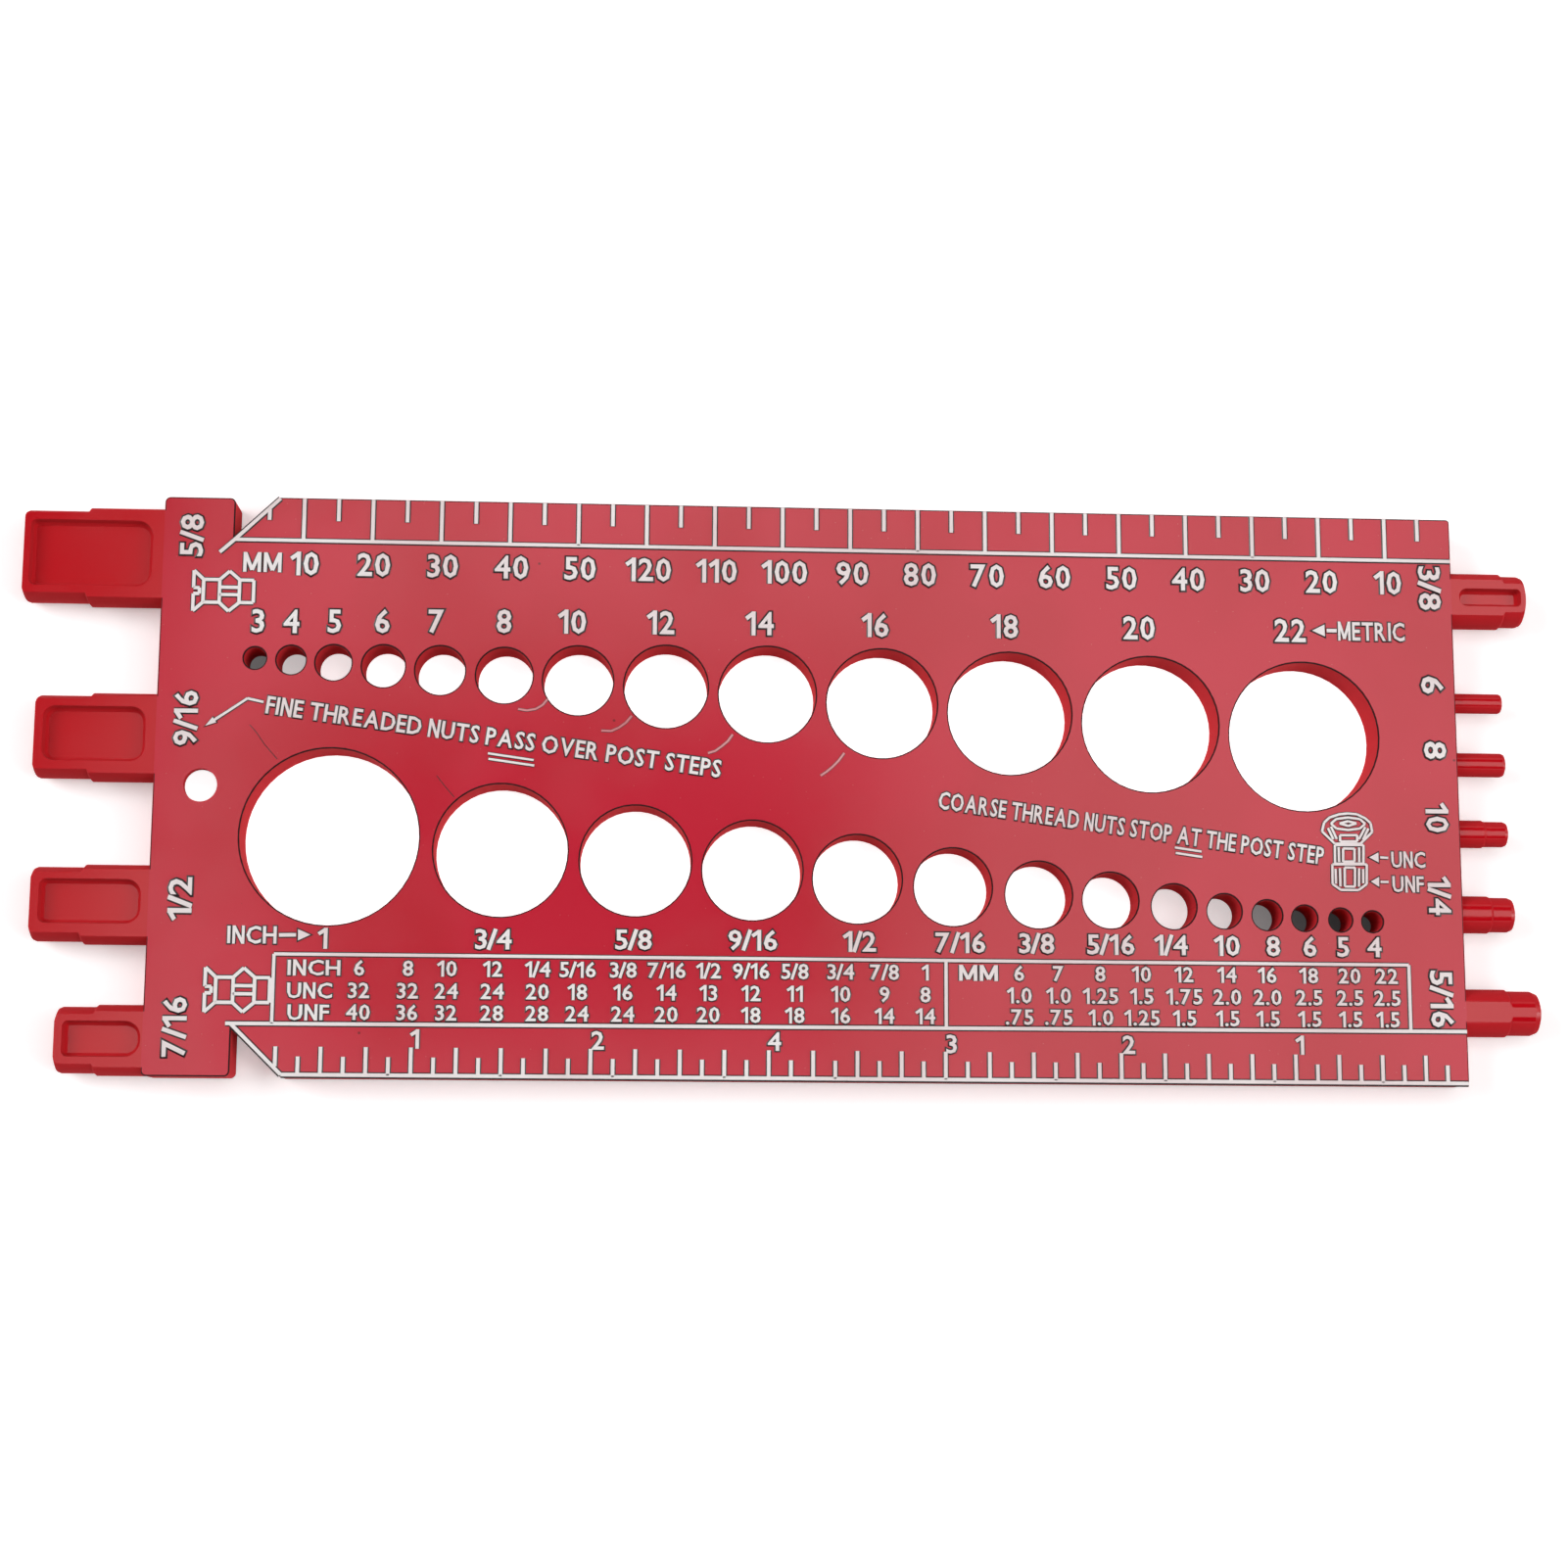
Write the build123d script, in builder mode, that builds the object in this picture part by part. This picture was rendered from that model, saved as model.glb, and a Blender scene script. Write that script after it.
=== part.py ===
from build123d import *
from math import sqrt
import os

os.makedirs("parts", exist_ok=True)

# All lengths are in millimetres. The gauge lies flat with its printed face up (+Z),
# its long side along X and its resting face at Z = 0. X = 0 and Y = 0 is the middle
# of the rectangular body, posts left out.

# Body
body_length = 190.2
body_height = 84.3
body_thickness = 6.35
mid_plane = body_thickness / 2
right_end = body_length / 2
left_end = -body_length / 2
top_edge = body_height / 2
bottom_edge = -body_height / 2

# The metric scale runs to the block face at the upper left, the inch scale to the
# block face at the lower left. Both faces stand beside a notch with a 45 degree flank.
metric_scale_length = 180.0
inch_scale_length = 177.8
upper_notch_depth = 6.4
lower_notch_depth = 7.1
upper_block_setback = 0.2
block_corner_radius = 0.8
plate_corner_radius = 0.5
edge_break = 0.2

# Gauge holes. Each row gives the bolt size, the distance of the centre from the right
# end and its height above the lower edge. Every hole is a little wider than its bolt.
bolt_clearance = 0.2
metric_holes = (
    (3.0, 176.4, 60.3),
    (4.0, 171.2, 60.1),
    (5.0, 165.1, 59.8),
    (6.0, 157.9, 59.4),
    (7.0, 149.7, 58.9),
    (8.0, 140.4, 58.3),
    (10.0, 129.7, 57.7),
    (12.0, 116.9, 57.0),
    (14.0, 102.1, 56.1),
    (16.0, 85.3, 55.0),
    (18.0, 66.5, 53.8),
    (20.0, 45.7, 52.5),
    (22.0, 22.9, 51.0),
)
inch_holes = (
    (25.4, 164.9, 34.4),
    (19.05, 140.4, 32.7),
    (15.875, 121.0, 31.4),
    (14.288, 104.1, 30.2),
    (12.7, 88.9, 29.1),
    (11.113, 75.0, 28.1),
    (9.525, 62.5, 27.1),
    (7.938, 52.0, 26.4),
    (6.35, 42.7, 25.6),
    (4.826, 35.3, 25.0),
    (4.166, 29.0, 24.5),
    (3.505, 23.5, 24.1),
    (3.175, 18.2, 23.9),
    (2.845, 13.5, 23.7),
)

# Hanging hole, countersunk from the back so that its front rim is thin.
hanging_diameter = 4.8
hanging_from_right = 183.5
hanging_height = 41.6
hanging_sink_diameter = 10.4
hanging_sink_angle = 60.0

# Stepped posts for gauging nuts. A post is a turned shape lying in the middle of the
# thickness. The wide root passes fine threads, the narrow tip passes coarse ones.
# Each row: root diameter, tip diameter, height above the lower edge, distance from
# the body to the step, distance from the body to the end, rounding of the end. The
# rounding is made of two flats that meet on the arc they stand for.
left_posts = (
    (14.5, 13.5, 75.5, 10.6, 20.0, 0.5),
    (12.9, 12.05, 48.8, 9.2, 17.2, 0.5),
    (11.5, 10.7, 24.5, 9.2, 16.6, 0.6),
    (10.1, 9.45, 5.15, 6.6, 12.3, 0.7),
)
right_posts = (
    (8.35, 7.7, 72.5, 7.7, 11.3, 0.8),
    (5.5, 5.1, 25.2, 4.4, 8.2, 0.8),
    (7.0, 6.5, 10.7, 6.4, 11.4, 1.2),
    (4.1, 3.76, 37.2, 4.0, 7.8, 0.6),
)
plain_posts = (
    (3.55, 47.6, 7.8, 0.5),
    (2.95, 56.9, 7.7, 0.4),
)
step_slope_length = 0.35
post_overlap = 2.0
trim_width = 400.0

# Pockets sunk in the front of the five thickest posts, to keep the moulding from sinking.
# Each row: distance of the near and far ends from the body, height of the centre above
# the lower edge, width, corner radius towards the body, corner radius towards the end.
left_pockets = (
    (1.5, 19.1, 75.5, 9.8, 2.3, 0.9),
    (1.4, 16.0, 48.9, 8.0, 2.1, 1.7),
    (1.0, 15.4, 24.7, 6.4, 2.2, 1.1),
    (0.2, 11.2, 5.2, 5.1, 2.3, 0.8),
)
right_pockets = ((1.1, 10.5, 72.5, 2.7, 1.25, 0.7),)
pocket_depth = 1.5
pocket_draft = 10.0
pocket_floor_break = 0.35
tiny = 0.001


def from_right(distance):
    """X of a point a given distance left of the right end."""
    return right_end - distance


def above_bottom(height):
    """Y of a point a given height above the lower edge."""
    return bottom_edge + height


# Corner points of the body, clockwise from the lower right.
metric_face = from_right(metric_scale_length)
inch_face = from_right(inch_scale_length)
block_top = top_edge - upper_block_setback
outline = (
    (right_end, bottom_edge),
    (inch_face + lower_notch_depth, bottom_edge),
    (inch_face, bottom_edge + lower_notch_depth),
    (inch_face, bottom_edge),
    (left_end, bottom_edge),
    (left_end, block_top),
    (metric_face, block_top),
    (metric_face, top_edge - upper_notch_depth),
    (metric_face + upper_notch_depth, top_edge),
    (right_end, top_edge),
    (right_end, bottom_edge),
)
block_corners = (
    (inch_face, bottom_edge),
    (left_end, bottom_edge),
    (left_end, block_top),
    (metric_face, block_top),
)
plate_corners = ((right_end, bottom_edge), (right_end, top_edge))


def near(vertex, corners):
    """True when a sketch vertex is one of the given corner points."""
    return any(abs(vertex.X - x) < tiny and abs(vertex.Y - y) < tiny for x, y in corners)


def on_front(edge):
    """True when an edge lies in the front face of the body."""
    return abs(edge.center().Z - body_thickness) < tiny


def rounded_end(length, radius, rounding):
    """Points of a post's end, from its side over the rounding to its axis."""
    back = rounding * (1 - sqrt(0.5))
    return (
        (length - rounding, radius),
        (length - back, radius - back),
        (length, radius - rounding),
        (length, 0),
    )


def out_of(end_x, outward, height):
    """Plane at mid-thickness whose first direction points out of one end of the body."""
    middle = (end_x, above_bottom(height), mid_plane)
    return Plane(origin=middle, x_dir=(outward, 0, 0), z_dir=(0, 0, 1))


with BuildPart() as gauge:
    # Body with its two blocks and two notches.
    with BuildSketch():
        with BuildLine():
            Polyline(*outline)
        make_face()
        fillet([v for v in vertices() if near(v, block_corners)], radius=block_corner_radius)
        fillet([v for v in vertices() if near(v, plate_corners)], radius=plate_corner_radius)
    extrude(amount=body_thickness)

    # The outline is broken on both faces by the same small amount as the rims of the holes.
    chamfer(faces().filter_by(Axis.Z).edges(), length=edge_break)

    # Stepped posts, each turned about its own axis.
    for end_x, outward, posts in ((left_end, -1, left_posts), (right_end, 1, right_posts)):
        for root_d, tip_d, height, step, length, rounding in posts:
            frame = out_of(end_x, outward, height)
            with BuildSketch(frame):
                with BuildLine():
                    Polyline(
                        (-post_overlap, 0),
                        (-post_overlap, root_d / 2),
                        (step, root_d / 2),
                        (step + step_slope_length, tip_d / 2),
                        *rounded_end(length, tip_d / 2, rounding),
                        close=True,
                    )
                make_face()
            revolve(axis=Axis(frame.origin, frame.x_dir))

    # Two thin posts of one diameter.
    for diameter, height, length, rounding in plain_posts:
        frame = out_of(right_end, 1, height)
        with BuildSketch(frame):
            with BuildLine():
                Polyline(
                    (-post_overlap, 0),
                    (-post_overlap, diameter / 2),
                    *rounded_end(length, diameter / 2, rounding),
                    close=True,
                )
            make_face()
        revolve(axis=Axis(frame.origin, frame.x_dir))

    # The thick posts are cut flush with both faces of the body.
    Box(
        trim_width,
        trim_width,
        body_thickness,
        align=(Align.CENTER, Align.CENTER, Align.MIN),
        mode=Mode.INTERSECT,
    )

    # Gauge holes, with their rims broken on the front.
    for bolt, distance, height in metric_holes + inch_holes:
        with Locations((from_right(distance), above_bottom(height), 0)):
            Cylinder(
                (bolt + bolt_clearance) / 2,
                body_thickness,
                align=(Align.CENTER, Align.CENTER, Align.MIN),
                mode=Mode.SUBTRACT,
            )
    rims = [e for e in edges().filter_by(GeomType.CIRCLE) if e.is_closed and on_front(e)]
    chamfer(rims, length=edge_break)

    # Hanging hole, opened out from the back.
    hanging_place = (from_right(hanging_from_right), above_bottom(hanging_height), 0)
    with Locations(Location(hanging_place, (180, 0, 0))):
        CounterSinkHole(
            radius=hanging_diameter / 2,
            counter_sink_radius=hanging_sink_diameter / 2,
            depth=body_thickness,
            counter_sink_angle=hanging_sink_angle,
        )

    # Pockets in the front of the thick posts, with drafted walls and a broken floor edge.
    for end_x, outward, pockets in ((left_end, -1, left_pockets), (right_end, 1, right_pockets)):
        for near_end, far_end, height, width, near_radius, far_radius in pockets:
            middle = (end_x + outward * (near_end + far_end) / 2, above_bottom(height))
            along = Axis((0, 0, 0), (outward, 0, 0))
            with BuildPart(mode=Mode.PRIVATE) as pocket:
                with BuildSketch(Plane.XY.offset(body_thickness)):
                    with Locations(middle):
                        Rectangle(far_end - near_end, width)
                    fillet(vertices().sort_by(along)[:2], radius=near_radius)
                    fillet(vertices().sort_by(along)[-2:], radius=far_radius)
                extrude(amount=-pocket_depth, taper=pocket_draft)
                chamfer(faces().sort_by(Axis.Z)[0].edges(), length=pocket_floor_break)
            add(pocket.part, mode=Mode.SUBTRACT)

gauge.part.label = "gauge"
export_step(gauge.part, "parts/gauge.step")
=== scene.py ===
"""Nut and bolt gauge: a red plastic plate with sizing holes, stepped posts and raised marks.

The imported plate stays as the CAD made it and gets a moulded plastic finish. The raised marks
on its front face are built here and ride on the plate's body. Places on the face are given in
millimetres, from the right end of the plate and above its lower edge.
"""

import logging
import math
from collections.abc import Callable, Iterable
from dataclasses import dataclass, field
from enum import Enum
from typing import ClassVar

import bmesh
import bpy
from mathutils import Matrix, Quaternion, Vector


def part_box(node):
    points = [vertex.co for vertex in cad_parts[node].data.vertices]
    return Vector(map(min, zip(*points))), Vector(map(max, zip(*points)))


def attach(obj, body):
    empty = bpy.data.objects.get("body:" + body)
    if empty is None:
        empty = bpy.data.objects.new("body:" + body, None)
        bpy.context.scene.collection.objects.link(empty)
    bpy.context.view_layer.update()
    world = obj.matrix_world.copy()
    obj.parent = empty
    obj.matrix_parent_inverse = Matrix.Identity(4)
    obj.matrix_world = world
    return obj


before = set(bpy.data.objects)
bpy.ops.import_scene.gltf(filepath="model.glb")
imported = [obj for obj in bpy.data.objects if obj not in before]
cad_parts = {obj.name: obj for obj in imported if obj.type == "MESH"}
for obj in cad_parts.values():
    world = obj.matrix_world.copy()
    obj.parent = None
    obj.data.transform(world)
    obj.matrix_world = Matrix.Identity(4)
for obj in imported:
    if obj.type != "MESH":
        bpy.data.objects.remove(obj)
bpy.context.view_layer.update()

MM = 0.001
# Right end of the body, posts left out, and its lower edge, in millimetres.
RIGHT_END = 95.1
LOWER_EDGE = -42.15
FACE_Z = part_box("gauge")[1].z
BODY = "root"
WHITE = (1.0, 1.0, 1.0, 1.0)
ORIGIN = (0.0, 0.0, 0.0)
# Where a primitive one metre high is added so that it stands on the origin.
STANDING = (0.0, 0.0, 0.5)
# A corner of such a primitive that is higher than this belongs to its top.
NEARLY_ONE = 0.9
# The two results of a mapped value that goes from one to nothing.
FALLING = (1.0, 0.0)

Piece = bpy.types.Object
Socket = bpy.types.NodeSocket
Pair = tuple[float, float]
Point = tuple[float, float]
Triple = tuple[float, float, float]
Line = tuple[Point, Point]
Outline = tuple[Point, ...]
Arrow = tuple[Point, Point, Point]
Colour = tuple[float, float, float, float]
log = logging.getLogger("gauge")


class Reading(Enum):
    """The way a label reads on the plate, as a turn in degrees."""

    ALONG = 0.0
    UPWARDS = 90.0
    DOWNWARDS = -90.0


class Element(Enum):
    """What is picked in edit mode: its mode's name, and the list of a mesh that holds it."""

    FACE = "faces"
    EDGE = "edges"


def on_face(spot: Point) -> Vector:
    """Give the place of a spot on the front face.

    Args:
        spot: Distance from the right end and height above the lower edge, in millimetres.

    Returns:
        The place in metres, in the shared frame.
    """
    return Vector(((RIGHT_END - spot[0]) * MM, (LOWER_EDGE + spot[1]) * MM, FACE_Z))


def added(add: Callable[..., set[str]], **values: object) -> Piece:
    """Add an object with nothing else selected.

    Args:
        add: The operator that adds it.
        values: Its settings.

    Returns:
        The new object.
    """
    bpy.ops.object.select_all(action="DESELECT")
    add(**values)
    return bpy.context.object


def pick(piece: Piece, element: Element, wanted: Callable[[list[Vector]], bool]) -> None:
    """Select faces or edges of the object in edit mode by the places of their corners.

    Args:
        piece: The object that is in edit mode.
        element: Whether to pick faces or edges.
        wanted: Takes the corners' places, and is true for a face or edge to select.
    """
    bpy.ops.mesh.select_mode(type=element.name)
    bpy.ops.mesh.select_all(action="DESELECT")
    shape = bmesh.from_edit_mesh(piece.data)
    for found in getattr(shape, element.value):
        found.select_set(wanted([corner.co for corner in found.verts]))
    bmesh.update_edit_mesh(piece.data)


def on_top(corners: list[Vector]) -> bool:
    """Tell whether a face or edge with these corners belongs to the top of a unit primitive."""
    return min(corner.z for corner in corners) > NEARLY_ONE


def taper(piece: Piece, share: Triple) -> None:
    """Draw in the top face of a new primitive, and leave it in edit mode.

    Args:
        piece: A primitive one metre high that stands on the origin.
        share: What is left of the top's size along X, Y and Z.
    """
    bpy.ops.object.transform_apply(location=True, rotation=True, scale=True)
    bpy.ops.object.mode_set(mode="EDIT")
    pick(piece, Element.FACE, on_top)
    bpy.ops.transform.resize(value=share, center_override=(0.0, 0.0, 1.0))


class NodeDesk:
    """Places and joins shader nodes in one node tree."""

    def __init__(self, tree: bpy.types.NodeTree) -> None:
        """Take the tree to work in."""
        self.tree = tree

    def add(self, kind: str, **values: object) -> bpy.types.Node:
        """Add a node.

        Args:
            kind: The node's type name.
            values: As for fill.

        Returns:
            The new node.
        """
        node = self.tree.nodes.new(kind)
        self.fill(node, **values)
        return node

    def fill(self, node: bpy.types.Node, **values: object) -> None:
        """Set up a node.

        Args:
            node: The node.
            values: Its settings by name, and what feeds its inputs by their names with "_" for " ".
        """
        for name, value in values.items():
            socket = node.inputs.get(name.replace("_", " "))
            if socket is None or hasattr(node, name):
                setattr(node, name, value)
            else:
                self.feed(value, socket)

    def feed(self, source: object, target: Socket) -> None:
        """Join an output to an input, or set the input to a value.

        Args:
            source: The output's socket, or the value.
            target: The input's socket.
        """
        if isinstance(source, Socket):
            self.tree.links.new(source, target)
        else:
            target.default_value = source

    def scaled(self, source: Socket, ends: Pair, results: Pair = (0.0, 1.0)) -> Socket:
        """Map a value smoothly from one range to another.

        Args:
            source: The value to map.
            ends: The two values between which it is mapped.
            results: Result up to the first of them, and result from the second on.

        Returns:
            The mapped value's socket.
        """
        node = self.add("ShaderNodeMapRange", interpolation_type="SMOOTHSTEP", Value=source,
                        From_Min=ends[0], From_Max=ends[1], To_Min=results[0], To_Max=results[1])
        return node.outputs["Result"]

    def worked(self, operation: str, *values: Socket | float) -> Socket:
        """Work out a value.

        Args:
            operation: The Math node's operation.
            values: What it works on, as sockets or numbers.

        Returns:
            The result's socket.
        """
        node = self.add("ShaderNodeMath", operation=operation)
        for value, target in zip(values, node.inputs):
            self.feed(value, target)
        return node.outputs[0]

    def product(self, first: Socket, second: Socket | float) -> Socket:
        """Multiply two values and give the result's socket."""
        return self.worked("MULTIPLY", first, second)

    def mixed(self, share: Socket, first: Socket | Colour, second: Socket | Colour) -> Socket:
        """Mix two colours by a share.

        Args:
            share: 0 gives the first colour and 1 the second.
            first: A colour or a colour socket.
            second: A colour or a colour socket.

        Returns:
            The mixed colour's socket.
        """
        # A Mix node's colours are its inputs 6 and 7 and its output 2.
        node = self.add("ShaderNodeMix", data_type="RGBA", Factor=share)
        self.feed(first, node.inputs[6])
        self.feed(second, node.inputs[7])
        return node.outputs[2]


def new_material(name: str) -> tuple[bpy.types.Material, NodeDesk, bpy.types.Node]:
    """Make a material.

    Args:
        name: Its name.

    Returns:
        The material, a desk for its nodes, and its shader.
    """
    material = bpy.data.materials.new(name)
    material.use_nodes = True
    return material, NodeDesk(material.node_tree), material.node_tree.nodes["Principled BSDF"]


@dataclass(frozen=True)
class MouldedSurface:
    """Shared effect of moulded plastic: soft mottling, handling smudges, specks, pits and slight waves.

    A noise is its scale, per metre, and its detail. A range holds the two noise values between which
    the effect sets in. A share is that of a pattern's cells that hold a dot, and a size is a dot's in
    its cell.
    """

    name: str = "moulded_surface"
    mottle_noise: Pair = (34.0, 2.0)
    mottle_range: Pair = (0.35, 0.68)
    smudge_noise: Pair = (75.0, 5.0)
    smudge_range: Pair = (0.42, 0.72)
    speck_scale: float = 760.0
    speck_share: float = 0.3
    speck_size: float = 0.075
    pit_scale: float = 170.0
    pit_share: float = 0.13
    pit_size: float = 0.045
    share_fade: float = 0.02
    wave_noise: Pair = (42.0, 1.0)
    grain_noise: Pair = (2600.0, 2.0)

    def group(self) -> bpy.types.NodeTree:
        """Build the node group, or give the one that is there.

        Returns:
            A group that puts out a colour, a roughness and a normal.
        """
        found = bpy.data.node_groups.get(self.name)
        if found is not None:
            return found
        tree = bpy.data.node_groups.new(self.name, "ShaderNodeTree")
        for kind, names in (("NodeSocketColor", ("Colour", "Deep Colour", "Speck Colour", "Pit Colour")),
                            ("NodeSocketFloat", ("Gloss", "Smudge", "Speck", "Pit", "Wave", "Grain"))):
            for name in names:
                tree.interface.new_socket(name=name, in_out="INPUT", socket_type=kind)
        for name, kind in (("Colour", "NodeSocketColor"), ("Roughness", "NodeSocketFloat"),
                           ("Normal", "NodeSocketVector")):
            tree.interface.new_socket(name=name, in_out="OUTPUT", socket_type=kind)
        desk = NodeDesk(tree)
        given, result = desk.add("NodeGroupInput").outputs, desk.add("NodeGroupOutput")
        place = desk.add("ShaderNodeTexCoord").outputs["Object"]

        def noise(scale: float, detail: float) -> Socket:
            """Give a noise value at a scale."""
            return desk.add("ShaderNodeTexNoise", Vector=place, Scale=scale, Detail=detail).outputs["Fac"]

        mottle = desk.scaled(noise(*self.mottle_noise), self.mottle_range)
        body = desk.mixed(mottle, given["Colour"], given["Deep Colour"])
        for name, scale, share, size in (("Speck", self.speck_scale, self.speck_share, self.speck_size),
                                         ("Pit", self.pit_scale, self.pit_share, self.pit_size)):
            cells = desk.add("ShaderNodeTexVoronoi", Vector=place, Scale=scale).outputs
            dot = desk.scaled(cells["Distance"], (size / 2, size), FALLING)
            tint = desk.add("ShaderNodeSeparateColor", Color=cells["Color"]).outputs[0]
            chosen = desk.scaled(tint, (share, share + self.share_fade), FALLING)
            amount = desk.product(desk.product(dot, chosen), given[name])
            body = desk.mixed(amount, body, given[f"{name} Colour"])
        smudge = desk.scaled(noise(*self.smudge_noise), self.smudge_range)
        gloss = desk.worked("MULTIPLY_ADD", smudge, given["Smudge"], given["Gloss"])
        waves = desk.add("ShaderNodeBump", Strength=1.0, Height=noise(*self.wave_noise),
                         Distance=given["Wave"])
        grain = desk.add("ShaderNodeBump", Strength=1.0, Height=noise(*self.grain_noise),
                         Distance=given["Grain"], Normal=waves.outputs["Normal"])
        desk.fill(result, Colour=body, Roughness=gloss, Normal=grain.outputs["Normal"])
        return tree


@dataclass(frozen=True)
class RedPlastic:
    """Glossy red moulded plastic, duller on side walls, with painted light and shade: painted shade as a
    deeper red on the posts and as near-black along the body's tilted edges, and painted light as a lighter
    red on the body's side walls.

    A face is tilted where the size of its normal's Z is under the first value of tilt_range, and no
    longer over the second. The same two values of wall_range tell a side wall.
    """

    name: str = "glossy_red_plastic"
    colour: Colour = (0.575, 0.0115, 0.034, 1.0)
    deep_colour: Colour = (0.522, 0.0090, 0.024, 1.0)
    speck_colour: Colour = (0.60, 0.10, 0.11, 1.0)
    pit_colour: Colour = (0.10, 0.002, 0.004, 1.0)
    # Painted light: the body's side walls get this lighter, more saturated red of their own.
    wall_colour: Colour = (0.62, 0.010, 0.020, 1.0)
    # Painted shade: the body's tilted edges, its chamfers, get this near-black as a dark line.
    edge_colour: Colour = (0.02, 0.001, 0.002, 1.0)
    # Painted shade: the posts get this deeper red in place of the reflection that they lack.
    post_colour: Colour = (0.53, 0.002, 0.008, 1.0)
    wall_roughness: float = 1.0
    body_half: float = RIGHT_END * MM
    body_fade: float = 0.0001
    tilt_range: Pair = (0.85, 0.95)
    wall_range: Pair = (0.45, 0.6)
    gloss: float = 0.17
    smudge: float = 0.05
    speck: float = 0.7
    pit: float = 0.8
    wave: float = 0.00005
    grain: float = 0.0000012
    refraction: float = 1.5

    def material(self) -> bpy.types.Material:
        """Make the finish.

        Returns:
            Its material.
        """
        material, desk, shader = new_material(self.name)
        surface = desk.add("ShaderNodeGroup", node_tree=MouldedSurface().group(), Colour=self.colour,
                           Deep_Colour=self.deep_colour, Speck_Colour=self.speck_colour,
                           Pit_Colour=self.pit_colour, Gloss=self.gloss, Smudge=self.smudge, Speck=self.speck,
                           Pit=self.pit, Wave=self.wave, Grain=self.grain).outputs
        place = desk.add("ShaderNodeTexCoord").outputs
        across = self._size_of(desk, place["Object"], "X")
        upright = self._size_of(desk, place["Normal"], "Z")
        body = desk.scaled(across, (self.body_half - self.body_fade, self.body_half), FALLING)
        tilted = desk.scaled(upright, self.tilt_range, FALLING)
        wall = desk.product(body, desk.scaled(upright, self.wall_range, FALLING))
        # Painted shade: the posts take a deeper red than the body.
        plain = desk.mixed(body, self.post_colour, surface["Colour"])
        # Painted shade: the body's tilted edges take near-black.
        edge_shaded = desk.mixed(desk.product(body, tilted), plain, self.edge_colour)
        duller = desk.worked("MAXIMUM", surface["Roughness"], desk.product(tilted, self.wall_roughness))
        # Painted light: the body's side walls take a lighter red, picked by their facing.
        desk.fill(shader, IOR=self.refraction, Base_Color=desk.mixed(wall, edge_shaded, self.wall_colour),
                  Roughness=duller, Normal=surface["Normal"])
        return material

    @staticmethod
    def _size_of(desk: NodeDesk, vector: Socket, axis: str) -> Socket:
        """Give the size of one component of a vector, without its sign."""
        return desk.worked("ABSOLUTE", desk.add("ShaderNodeSeparateXYZ", Vector=vector).outputs[axis])


@dataclass(frozen=True)
class PaleMark:
    """Raised mark: a pale top, partly white print and partly a painted highlight, rubbed to a pinker tone in
    patches, and painted shade down its sides.

    It goes from dark to pale between pale_from and pale_to, its heights above the face in millimetres.
    """

    name: str = "rubbed_pale_mark"
    # The pale top is partly white print and partly a painted highlight.
    top_colour: Colour = (0.89, 0.84, 0.83, 1.0)
    rubbed_colour: Colour = (0.79, 0.66, 0.66, 1.0)
    # Painted shade down the marks' sides; the low hairlines, which stay below pale_from, take this dark
    # colour too.
    side_colour: Colour = (0.012, 0.001, 0.002, 1.0)
    gloss: float = 0.32
    smudge: float = 0.15
    speck: float = 1.0
    grain: float = 0.000002
    pale_from: float = 0.163
    pale_to: float = 0.176

    def material(self) -> bpy.types.Material:
        """Make the finish.

        Returns:
            Its material.
        """
        material, desk, shader = new_material(self.name)
        surface = desk.add("ShaderNodeGroup", node_tree=MouldedSurface().group(), Colour=self.top_colour,
                           Deep_Colour=self.rubbed_colour, Speck_Colour=self.rubbed_colour, Gloss=self.gloss,
                           Smudge=self.smudge, Speck=self.speck, Pit=0.0, Wave=0.0, Grain=self.grain).outputs
        place = desk.add("ShaderNodeTexCoord").outputs["Object"]
        height = desk.add("ShaderNodeSeparateXYZ", Vector=place).outputs["Z"]
        top = desk.scaled(height, (FACE_Z + self.pale_from * MM, FACE_Z + self.pale_to * MM))
        # Below pale_from the dark colour is painted shade on the sides, above pale_to the pale top shows.
        desk.fill(shader, Base_Color=desk.mixed(top, self.side_colour, surface["Colour"]),
                  Roughness=surface["Roughness"], Normal=surface["Normal"])
        return material


@dataclass(frozen=True)
class LetterStyle:
    """Size of one kind of lettering.

    Attributes:
        height: Height of a figure, in millimetres.
        pair_width: Width of two figures side by side, in millimetres.
        gap: Space between two letters, as a share of the height.
    """

    height: float
    pair_width: float
    gap: float = 0.13


@dataclass(frozen=True)
class Label:
    """A raised word or number, centred on a spot of the front face.

    Attributes:
        text: What it says.
        spot: Its centre.
        width: Its width, or None for the width that its style gives.
    """

    text: str
    spot: Point
    width: float | None = None


@dataclass(frozen=True)
class Glyph:
    """One letter or figure of unit height and depth. Its top face has its foot and left side at 0."""

    shape: Piece
    width: float


def extent(piece: Piece) -> tuple[Vector, Vector]:
    """Measure an object's mesh.

    Args:
        piece: The object.

    Returns:
        The lowest and the highest corner of its box.
    """
    places = [vertex.co for vertex in piece.data.vertices]
    return (Vector([min(place[axis] for place in places) for axis in range(3)]),
            Vector([max(place[axis] for place in places) for axis in range(3)]))


def own_copy(piece: Piece) -> Piece:
    """Copy an object.

    Args:
        piece: The object.

    Returns:
        The copy, with a mesh of its own.
    """
    copy = piece.copy()
    copy.data = piece.data.copy()
    copy.hide_render = False
    bpy.context.scene.collection.objects.link(copy)
    return copy


def join_all(parts: list[Piece]) -> Piece:
    """Join several objects.

    Args:
        parts: The objects.

    Returns:
        The first of them, which now holds all.
    """
    bpy.ops.object.select_all(action="DESELECT")
    for part in parts:
        part.select_set(True)
    bpy.context.view_layer.objects.active = parts[0]
    if len(parts) > 1:
        bpy.ops.object.join()
    return bpy.context.object


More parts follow.
